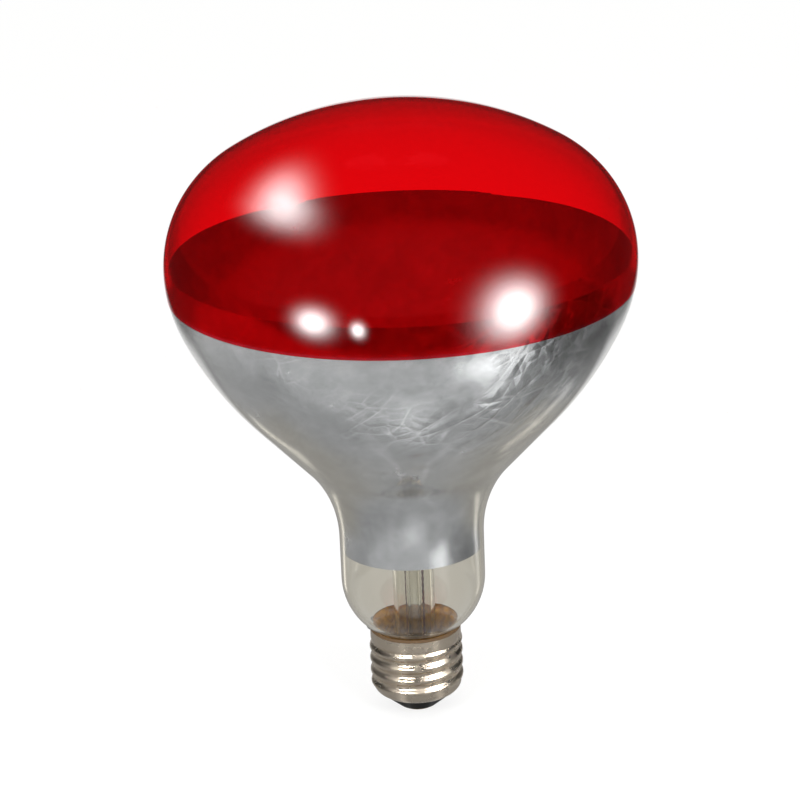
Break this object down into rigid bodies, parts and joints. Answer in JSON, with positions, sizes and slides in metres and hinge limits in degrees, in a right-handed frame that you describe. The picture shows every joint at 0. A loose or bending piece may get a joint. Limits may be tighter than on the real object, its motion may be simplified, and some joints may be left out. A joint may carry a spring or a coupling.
{
  "type": "infrared heat lamp bulb",
  "caption": "Infrared reflector heat lamp: blown glass bulb with a domed red face, a mirrored bowl and neck, a filament on a glass stem, and a threaded metal screw base.",
  "frame": {"origin": "tip of the centre contact's solder, on the lamp's axis", "axes": "+Z along the lamp's axis from the base to the crown of the red face; the picture looks along +Y"},
  "size_m": [0.1272, 0.1272, 0.1747],
  "materials": {
    "clear_glass": "clear blown soft glass",
    "red_lacquer": "transparent red heat-proof lacquer, gloss",
    "aluminium_mirror": "aluminium film on the inside of the glass",
    "nickel_shell": "nickel-plated sheet, rolled",
    "black_glass": "opaque black glass, gloss",
    "brass_contact": "stamped brass",
    "solder": "soft solder, dull",
    "basing_cement": "baked brown basing cement, matte",
    "copper_lead": "copper wire, tarnished",
    "nickel_lead": "nickel wire",
    "molybdenum_wire": "drawn molybdenum wire",
    "tungsten_coil": "coiled tungsten wire"
  },
  "bodies": {
    "root": {"glass_envelope": "clear_glass", "mirror_coat": "aluminium_mirror", "red_lacquer": "red_lacquer", "screw_shell": "nickel_shell", "base_insulator": "black_glass", "centre_contact": "brass_contact", "centre_solder": "solder", "side_solder": "solder", "basing_cement": "basing_cement", "stem_flare": "clear_glass", "exhaust_tube": "clear_glass", "stem_arbor": "clear_glass", "outer_lead_centre": "copper_lead", "outer_lead_side": "copper_lead", "seal_wire_centre": "copper_lead", "seal_wire_side": "copper_lead", "inner_lead_centre": "nickel_lead", "inner_lead_side": "nickel_lead", "filament": "tungsten_coil", "support_wire_1": "molybdenum_wire", "support_wire_2": "molybdenum_wire", "support_wire_3": "molybdenum_wire"}
  },
  "joints": []
}
